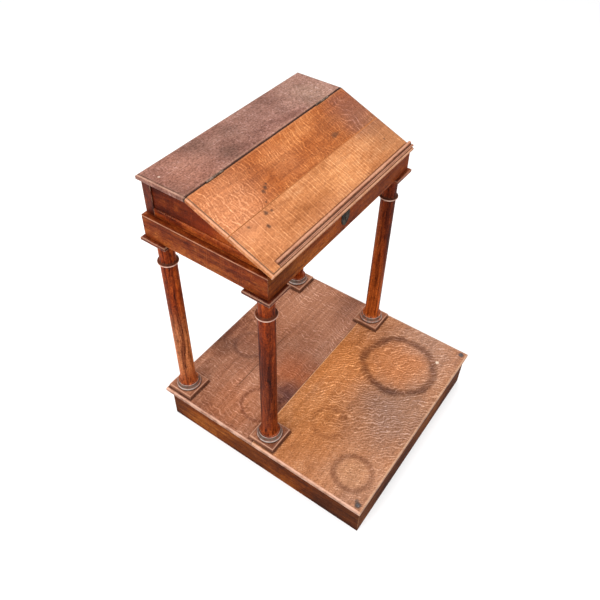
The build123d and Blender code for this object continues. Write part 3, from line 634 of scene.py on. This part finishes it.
SHELF_STAINS = [
    patch(on_shelf(-148, 303), 30, BLACK_STAIN, 0.55, soft=0.9, ragged=1.0),
    patch(on_shelf(-116, 217), 26, BLACK_STAIN, 0.55, soft=0.9, ragged=1.0),
    patch(on_shelf(-46, 287), 24, BLACK_STAIN, 0.40, soft=0.9, ragged=1.0),
    patch(on_shelf(113, 235), 20, BLACK_STAIN, 0.25, soft=0.9, ragged=1.0),
    patch(on_shelf(-285, 205), 35, BLACK_STAIN, 0.30, soft=0.9),
    patch(on_shelf(235, 235), 65, (0.40, 0.26, 0.19), 0.35, soft=0.9),
    patch(on_shelf(-120, 262), 55, (0.165, 0.080, 0.056), 0.45, soft=0.9, stretch=(0.5, 1, 1)),
    patch(on_shelf(90, 290), 50, (0.165, 0.084, 0.062), 0.40, soft=0.9, stretch=(0.4, 1, 1)),
    patch(on_shelf(-235, 240), 60, (0.27, 0.105, 0.062), 0.45, soft=0.9),
]
SHELF_MARKS = [
    patch(on_shelf(-284, 279), 2.8, (0.55, 0.42, 0.34), 0.6, 0.4),
    # Painted shade in the gap at the hinges, on the shelf's front edge.
    edge_band("Y", HINGE_Y + 1.6, 3.4, (0.030, 0.010, 0.006), 0.96, ragged=0.3, patchy=0.1),
    edge_band("Y", HINGE_Y + 7.6, 2.4, (0.33, 0.18, 0.12), 0.35, ragged=0.6),
    # Pale nosing line on the shelf's edge: wear and painted highlight.
    edge_band("X", 2.7 - LID_HALF, 2.0, (0.40, 0.24, 0.17), 0.6, ragged=0.3),
    # Painted shadow in the step of the shelf's thumb moulding.
    edge_band("X", 6.6 - LID_HALF, 1.4, (0.06, 0.028, 0.018), 0.7, ragged=0.3),
]

# The rest's bead, its quirk and its two reeds: painted highlights on the bead and the reeds,
# painted shade in the quirk.
REST_MARKS = [
    edge_band("Y", -REST_BACK - 3.9, 3.4, (0.43, 0.215, 0.135), 0.85, ragged=0.35, patchy=0.3),
    edge_band("Y", -REST_BACK - 10.4, 1.9, (0.075, 0.028, 0.014), 0.95, ragged=0.2, patchy=0.0),
    edge_band("Y", -REST_BACK - 13.4, 1.0, (0.36, 0.18, 0.115), 0.8, ragged=0.3, patchy=0.3),
    edge_band("Y", -REST_BACK - 16.2, 0.9, (0.38, 0.19, 0.125), 0.8, ragged=0.3, patchy=0.3),
]

BASE_BACK_STAINS = [
    ring_mark(on_base(-50, 245), 50, 12, (0.40, 0.34, 0.34), 0.8),
    patch(on_base(-95, 320), 35, BLACK_STAIN, 0.45, soft=0.9),
    patch(on_base(-45, 230), 75, PURPLE_STAIN, 0.40, soft=0.9),
    patch(on_base(-55, 80), 60, (0.42, 0.105, 0.030), 0.65, soft=0.9),
    patch(on_base(-255, 130), 75, (0.42, 0.145, 0.060), 0.45, soft=0.9),
    patch(on_base(-170, 190), 70, (0.40, 0.160, 0.085), 0.40, soft=0.9),
    patch(on_base(60, 210), 80, (0.33, 0.115, 0.050), 0.50, soft=0.9),
    patch(on_base(240, 50), 70, (0.20, 0.085, 0.058), 0.45, soft=0.9),
    patch(on_base(-130, 36), 34, (0.07, 0.030, 0.032), 0.65, soft=0.9),
    ring_mark(on_base(-215, 75), 58, 9, (0.45, 0.32, 0.30), 0.7),
    patch(on_base(205, 165), 130, (0.46, 0.205, 0.115), 0.65, soft=0.9),
    patch(on_base(20, 90), 100, (0.215, 0.086, 0.050), 0.5, soft=0.9),
]
BASE_BACK_MARKS = [
    crack(on_base(-209, 175), on_base(67, 175), 1.4, (0.05, 0.02, 0.012), 0.8),
    # Dirt and painted contact shade round the plinths.
    square_rim(44, 3, BASE_TOP - 1, (0.28, 0.20, 0.17), 0.9, "MULTIPLY"),
    edge_band("Z", BASE_TOP - 10.5, 8.0, BOARD_SIDE_SHADE, 0.88, ragged=0.1, patchy=0.1),
    edge_band("X", 2.0 - BASE_HALF_WIDTH, 2.8, BASE_EDGE_WEAR_AND_HIGHLIGHT, 0.85, ragged=0.4),
    edge_band("Y", BASE_JOINT_Y + 0.6, 1.6, (0.07, 0.026, 0.014), 0.7, ragged=0.3),
]

BASE_FRONT_STAINS = [
    patch(on_base(30, -265), 180, (0.255, 0.135, 0.085), 0.75, soft=0.9),
    patch(on_base(-60, -215), 100, (0.215, 0.115, 0.078), 0.50, soft=0.9, ragged=0.9),
    patch(on_base(-225, -180), 120, (0.255, 0.108, 0.052), 0.60, soft=0.9),
    patch(on_base(-280, -310), 90, (0.33, 0.175, 0.110), 0.60, soft=0.9),
    patch(on_base(285, -220), 110, (0.33, 0.185, 0.125), 0.70, soft=0.9),
    patch(on_base(165, -175), 85, (0.42, 0.145, 0.048), 0.80, soft=0.6),
    patch(on_base(-150, -60), 120, (0.45, 0.155, 0.040), 0.65, soft=0.9),
    patch(on_base(60, -30), 100, (0.46, 0.150, 0.036), 0.75, soft=0.9),
    patch(on_base(-246, -268), 45, (0.38, 0.175, 0.080), 0.5, soft=0.7),
]
BASE_FRONT_MARKS = [
    # Dirt and painted contact shade round the plinths.
    square_rim(44, 3.4, BASE_TOP - 1, (0.28, 0.20, 0.17), 0.9, "MULTIPLY"),
    ring_mark(on_base(160, -187), 109, 21, (0.33, 0.26, 0.25), 0.85, 0.9),
    ring_mark(on_base(-245, -268), 53, 14, (0.46, 0.37, 0.35), 0.75),
    ring_mark(on_base(-147, -128), 50, 14, (0.48, 0.38, 0.34), 0.45),
    patch(on_base(244, -281), 5, (0.74, 0.60, 0.46), 0.8, 0.4),
    patch(on_base(318, -330), 8.5, (0.075, 0.055, 0.055), 0.9, 0.3, 0.4),
    patch(on_base(-318, -330), 8.5, (0.060, 0.040, 0.035), 0.9, 0.3, 0.4),
    patch(on_base(-310, -322), 6, (0.055, 0.040, 0.035), 0.7, 0.5),
    edge_band("Z", BASE_TOP - 10.5, 8.0, BOARD_SIDE_SHADE, 0.88, ragged=0.1, patchy=0.1),
    edge_band("X", 2.0 - BASE_HALF_WIDTH, 3.0, BASE_EDGE_WEAR_AND_HIGHLIGHT, 0.85, ragged=0.4),
    # Pale front and right edges of the front board: wear and painted highlight.
    edge_band("Y", BASE_FRONT_Y + 2.0, 3.0, (0.50, 0.29, 0.18), 0.75, ragged=0.5),
    edge_band("X", BASE_HALF_WIDTH - 4.0, 5.0, (0.40, 0.22, 0.14), 0.5, ragged=0.6),
    edge_band("Y", BASE_JOINT_Y - 1.4, 1.6, (0.70, 0.40, 0.22), 0.5, ragged=0.3),
]

APRON_MARKS = [
    edge_band("Z", APRON_LEDGE - 2.4, 1.7, (0.46, 0.22, 0.13), 0.80, ragged=0.2, patchy=0.4),
    edge_band("Z", APRON_LEDGE - 6.0, 1.3, (0.035, 0.010, 0.004), 0.6, ragged=0.3),
]
RAIL_STAINS_AND_SHADE = [
    # Painted shadow under the base boards' nosing.
    edge_band("Z", BASE_TOP - 20.0, 8.0, (0.050, 0.012, 0.003), 0.6, ragged=0.2, patchy=0.3),
    patch(on_side(RAIL_X, -320, 60), 130, (0.050, 0.013, 0.004), 0.80, soft=0.9),
    patch(on_side(RAIL_X, 20, 100), 100, (0.075, 0.018, 0.004), 0.50, soft=0.9),
    patch(on_side(RAIL_X, 330, 60), 50, (0.050, 0.013, 0.005), 0.60, soft=0.9),
]
FASCIA_STAINS = [
    patch(on_apron(-270, 765), 90, (0.075, 0.018, 0.004), 0.70, soft=0.9),
    patch(on_apron(-100, 760), 80, (0.25, 0.060, 0.008), 0.45, soft=0.9),
    patch(on_apron(170, 760), 120, (0.135, 0.034, 0.010), 0.50, soft=0.9),
]
# Painted light: lighter patches on the gable, where the lid's edge shades it.
GABLE_PAINTED_LIGHT = [
    patch(on_side(GABLE_X, 140, 825), 50, (0.20, 0.026, 0.005), 0.60, soft=0.9),
    patch(on_side(GABLE_X, 70, 805), 40, (0.33, 0.070, 0.010), 0.60, soft=0.9),
]
SHAFT_STAINS = [
    patch(on_shaft(COLUMN_X, COLUMN_Y_FRONT, 200), 160, (0.40, 0.085, 0.014), 0.75, soft=0.9),
    patch(on_shaft(COLUMN_X, COLUMN_Y_FRONT, 600), 150, (0.070, 0.012, 0.004), 0.55, soft=0.9),
    patch(on_shaft(-COLUMN_X, COLUMN_Y_BACK, 310), 110, (0.46, 0.165, 0.062), 0.65, soft=0.9),
    patch(on_shaft(-COLUMN_X, COLUMN_Y_FRONT, 340), 160, (0.075, 0.016, 0.006), 0.45, soft=0.9),
]

FINE_RAYS = Rays(5, 16, 0.60, warp=10, warp_size=30, ripple=2, width=0.26, cover=0.45)
LID_UPPER_RAYS = (
    Rays(11.5, 50, 0.80, warp=55, warp_size=150, ripple=5, width=0.14, cover=0.58),
    Rays(6.8, 22, 0.60, 12, warp=20, warp_size=60, ripple=2, width=0.22),
)
LID_LOWER_RAYS = (
    Rays(10.5, 90, 0.62, warp=14, warp_size=100, ripple=2.2, width=0.135, cover=0.62),
    Rays(6.7, 30, 0.32, 4, warp=12, warp_size=80, ripple=2.2, width=0.20),
)
SHELF_RAYS = (
    Rays(6.2, 14, 0.65, warp=20, warp_size=50, ripple=3, width=0.24, cover=0.40),
)
BASE_BACK_RAYS = (
    Rays(10, 45, 0.75, 8, warp=60, warp_size=200, ripple=6, width=0.18),
    FINE_RAYS,
)
BASE_FRONT_RAYS = (
    Rays(9.8, 60, 1.25, -36, warp=35, warp_size=100, ripple=8, width=0.17, cover=0.72,
         where=(on_base(75, -230), 270)),
    Rays(5.8, 22, 0.70, -25, warp=10, warp_size=30, ripple=3, width=0.24),
)
DARK_RAYS = (
    Rays(6.6, 20, 0.55, warp=20, warp_size=80, ripple=3, width=0.22, cover=0.35),
)

PLINTH_MARKS = [
    square_rim(40.4, 1.6, PLINTH_TOP - 6.5, (0.56, 0.32, 0.22), 0.70),
    square_rim(36, 1.6, PLINTH_TOP - 6.5, (0.20, 0.10, 0.07), 0.5),
    square_rim(43.2, 1.4, BASE_TOP - 11.0, (0.10, 0.045, 0.03), 0.5),
    # Painted shade on the plinths' side faces.
    edge_band("Z", PLINTH_TOP - 9.5, 6.5, (0.12, 0.048, 0.028), 0.7, ragged=0.1),
]
ABACUS_MARKS = [
    square_rim(38.5, 1.3, APRON_BOTTOM - 2.5, (0.36, 0.19, 0.12), 0.60),
]

FINISH = {
    "lid_upper": wood("oak_lid_upper", GOLD, LID_TURN, LID_ORIGIN, 1.0, LID_UPPER_RAYS,
                      LID_STAINS, marks=LID_MARKS, streak=0.22, worn=NOSING_WEAR_AND_HIGHLIGHT),
    "lid_lower": wood("oak_lid_lower", HONEY, LID_TURN, LID_ORIGIN, 2.0, LID_LOWER_RAYS,
                      LID_STAINS, marks=LID_MARKS, streak=0.18, worn=NOSING_WEAR_AND_HIGHLIGHT, grit=0.12),
    "rest": wood("oak_rest", TAWNY, LID_TURN, LID_ORIGIN, 3.0, worn=(0.42, 0.22, 0.14),
                 wear_radius=1.2, crease=0.95, streak=0.5, marks=REST_MARKS),
    "shelf": wood("oak_shelf", PLUM, seed=4.0, rays=SHELF_RAYS, stains_and_shading=SHELF_STAINS,
                  marks=SHELF_MARKS, streak=0.10, grit=0.26, mottle=14.0,
                  mottle_stretch=0.9, worn=(0.50, 0.30, 0.20)),
    "base_back": wood("oak_base_back", HEARTH, seed=5.0, rays=BASE_BACK_RAYS,
                      stains_and_shading=BASE_BACK_STAINS, marks=BASE_BACK_MARKS, streak=0.25,
                      worn=(0.62, 0.38, 0.27)),
    "base_front": wood("oak_base_front", AMBER, seed=6.0, rays=BASE_FRONT_RAYS,
                       stains_and_shading=BASE_FRONT_STAINS, marks=BASE_FRONT_MARKS, streak=0.22, grit=0.2,
                       worn=(0.66, 0.40, 0.26)),
    "apron_front": wood("oak_apron_front", FASCIA, seed=7.0, rays=DARK_RAYS,
                        stains_and_shading=FASCIA_STAINS, worn=(0.46, 0.22, 0.10), wear=0.4,
                        wear_radius=2.0, gloss=0.04, roughness=(0.5, 0.7), streak=0.5,
                        pore=0.8, pore_size=2.2),
    "frame_x": wood("oak_frame_x", RUSSET, seed=7.5, rays=DARK_RAYS, worn=(0.40, 0.17, 0.07)),
    "frame_y": wood("oak_frame_y", CHESTNUT, GRAIN_TURN["y"], seed=8.0, rays=DARK_RAYS, gloss=0.05,
                    worn=(0.46, 0.24, 0.14), wear=0.35, wear_radius=2.2, streak=0.55, pore=0.8,
                    pore_size=2.2, marks=APRON_MARKS),
    "gable_rail": wood("oak_gable_rail", SIENNA, GRAIN_TURN["y"], seed=8.3, rays=DARK_RAYS,
                       gloss=0.06, worn=(0.46, 0.22, 0.12), wear=0.8, wear_radius=2.0,
                       crease=0.15, streak=0.55, pore=0.8, pore_size=2.2),
    "gable": wood("oak_gable", DEEP, GRAIN_TURN["y"], seed=8.6, rays=DARK_RAYS, gloss=0.04,
                  stains_and_shading=GABLE_PAINTED_LIGHT, crease=0.25, worn=(0.42, 0.18, 0.09)),
    "base_x": wood("oak_base_rail_x", SOOT, seed=9.0, streak=0.5, gloss=0.03, roughness=(0.6, 0.75),
                   worn=(0.42, 0.20, 0.10)),
    "base_y": wood("oak_base_rail_y", UMBER, GRAIN_TURN["y"], seed=10.0, streak=0.6, gloss=0.02,
                   pore_size=2.0, stains_and_shading=RAIL_STAINS_AND_SHADE, worn=(0.42, 0.20, 0.10)),
    "upright": wood("oak_upright", DEEP, GRAIN_TURN["z"], seed=11.0),
    "hidden_x": wood("oak_hidden_x", PALE, seed=12.0, wear=0.1),
    "hidden_y": wood("oak_hidden_y", PALE, GRAIN_TURN["y"], seed=13.0, wear=0.1),
    "plinth": wood("oak_plinth", TAWNY, seed=14.0, worn=(0.62, 0.36, 0.23), crease=1.0,
                   marks=PLINTH_MARKS),
    "abacus": wood("oak_abacus", DEEP, seed=15.0, worn=(0.52, 0.30, 0.20), wear=0.9, crease=0.6,
                   marks=ABACUS_MARKS),
    "brass": metal("hinge_metal", DULL_BRASS, (0.4, 0.65), metallic=0.6, gloss=0.2),
    "steel": metal("screw_metal", DULL_STEEL, (0.4, 0.65), metallic=0.5, gloss=0.2),
    "lock": metal("lock_metal", BRIGHT_STEEL, (0.35, 0.55)),
    "patina": metal("escutcheon_metal", BLACKENED, (0.5, 0.7), metallic=0.0, gloss=0.04),
}

# The four columns differ a little in tone.
SHAFT_GAIN = {"front_left": 1.3, "front_right": 1.5, "back_left": 1.5, "back_right": 1.3}
for index, (column, gain) in enumerate(SHAFT_GAIN.items()):
    low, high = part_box("column_shaft_" + column)
    axis = (Vector(low) + Vector(high)) / 2
    # Pale grey bands on the torus and the ring, painted shade in the hollow between them, a painted
    # highlight on the astragal, and painted shade just above and below it.
    bands = [
        turned_band(axis, PLINTH_TOP + 2.0, TORUS_TOP - 1.5, 34.5, PALE_GREY, 0.85),
        # Painted shade in the hollow between the torus and the ring.
        turned_band(axis, TORUS_TOP - 1.0, TORUS_TOP + 5.0, 26.0, (0.13, 0.11, 0.09), 0.75),
        turned_band(axis, RING_BOTTOM, RING_BOTTOM + 4.0, 29.8, PALE_GREY, 0.90),
        turned_band(axis, ASTRAGAL_BOTTOM - 0.5, ASTRAGAL_TOP - 1.0, 26.2, ASTRAGAL_HIGHLIGHT, 0.85),
        turned_band(axis, ASTRAGAL_TOP - 1.5, ASTRAGAL_TOP + 3.0, 0.0, ASTRAGAL_SHADE_ABOVE, 0.75),
        turned_band(axis, ASTRAGAL_BOTTOM - 5.0, ASTRAGAL_BOTTOM - 0.8, 0.0, ASTRAGAL_SHADE_BELOW, 0.7),
    ]
    FINISH["shaft_" + column] = wood(
        "oak_shaft_" + column,
        [[value * gain for value in tone] for tone in RUSSET],
        GRAIN_TURN["z"], seed=20.0 + index * 1.7, streak=1.0, streak_size=8.5, pore=1.0,
        pore_size=2.6, grit=0.26, worn=(0.50, 0.30, 0.20), crease=0.6, gloss=0.06, mottle=7.0,
        mottle_stretch=0.35, stains_and_shading=SHAFT_STAINS, marks=bands,
    )

# The first prefix that a node's name starts with gives its finish.
PREFIX_FINISH = (
    ("lid_board_upper", "lid_upper"), ("lid_board_lower", "lid_lower"), ("book_rest", "rest"),
    ("top_shelf", "shelf"), ("base_board_back", "base_back"), ("base_board_front", "base_front"),
    ("base_board_screws", "steel"), ("batten_screws", "steel"),
    ("base_rail_front", "base_x"), ("base_rail_back", "base_x"), ("base_rail", "base_y"),
    ("base_batten", "hidden_y"), ("column_plinth", "plinth"), ("column_abacus", "abacus"),
    ("apron_rail_front", "apron_front"), ("apron_rail_back", "frame_x"), ("apron_rail", "frame_y"),
    ("apron_corner_blocks", "hidden_x"), ("desk_floor", "hidden_x"),
    ("gable_stile", "upright"), ("gable_rail", "gable_rail"), ("gable", "gable"),
    ("case_back", "frame_x"), ("hinge_", "brass"), ("escutcheon", "patina"),
    ("keeper_screws", "steel"), ("lock_", "lock"),
)

for node_name, piece in NODES.items():
    if node_name.startswith("column_shaft_"):
        finish = FINISH["shaft_" + node_name[len("column_shaft_"):]]
    else:
        finish = next(FINISH[key] for prefix, key in PREFIX_FINISH if node_name.startswith(prefix))
    piece.data.materials.clear()
    piece.data.materials.append(finish)


# ---------------------------------------------------------------- room
FLOOR_HALF = 12.0          # metres


def make_floor():
    """Pale paper under the object, bright enough to keep the shadows soft."""
    mesh = bpy.data.meshes.new("floor")
    corners = [(x * FLOOR_HALF, y * FLOOR_HALF, 0) for x, y in ((-1, -1), (1, -1), (1, 1), (-1, 1))]
    mesh.from_pydata(corners, [], [(0, 1, 2, 3)])
    floor = bpy.data.objects.new("floor", mesh)
    bpy.context.scene.collection.objects.link(floor)
    g = Graph("floor_paper")
    shader = g.add("ShaderNodeBsdfPrincipled", {
        "Base Color": (0.55, 0.55, 0.55), "Roughness": 0.9, "Specular IOR Level": 0.1,
        "Emission Color": (1, 1, 1), "Emission Strength": 0.45,
    })
    output = g.add("ShaderNodeOutputMaterial")
    g.tree.links.new(shader.outputs[0], output.inputs["Surface"])
    mesh.materials.append(g.material)


def area_light(name, place, target, size, power):
    """A square light, aimed at a place on the object."""
    data = bpy.data.lights.new(name, "AREA")
    data.shape = "SQUARE"
    data.size = size
    data.energy = power
    light = bpy.data.objects.new(name, data)
    light.location = place
    aim = Vector(target) - Vector(place)
    light.rotation_euler = aim.to_track_quat("-Z", "Y").to_euler()
    bpy.context.scene.collection.objects.link(light)


make_floor()
area_light("key", (-2.6, 0.4, 2.6), (0, 0, 0.5), 2.4, 90)
area_light("overhead", (0.3, 0.2, 3.6), (0, 0, 0.4), 3.0, 90)
area_light("fill", (0.8, -3.0, 1.8), (0, 0, 0.4), 2.5, 25)

world = bpy.data.worlds.new("room")
world.use_nodes = True
background = world.node_tree.nodes["Background"]
background.inputs["Color"].default_value = (1, 1, 1, 1)
background.inputs["Strength"].default_value = 0.75
bpy.context.scene.world = world
bpy.context.scene.view_settings.view_transform = "Standard"
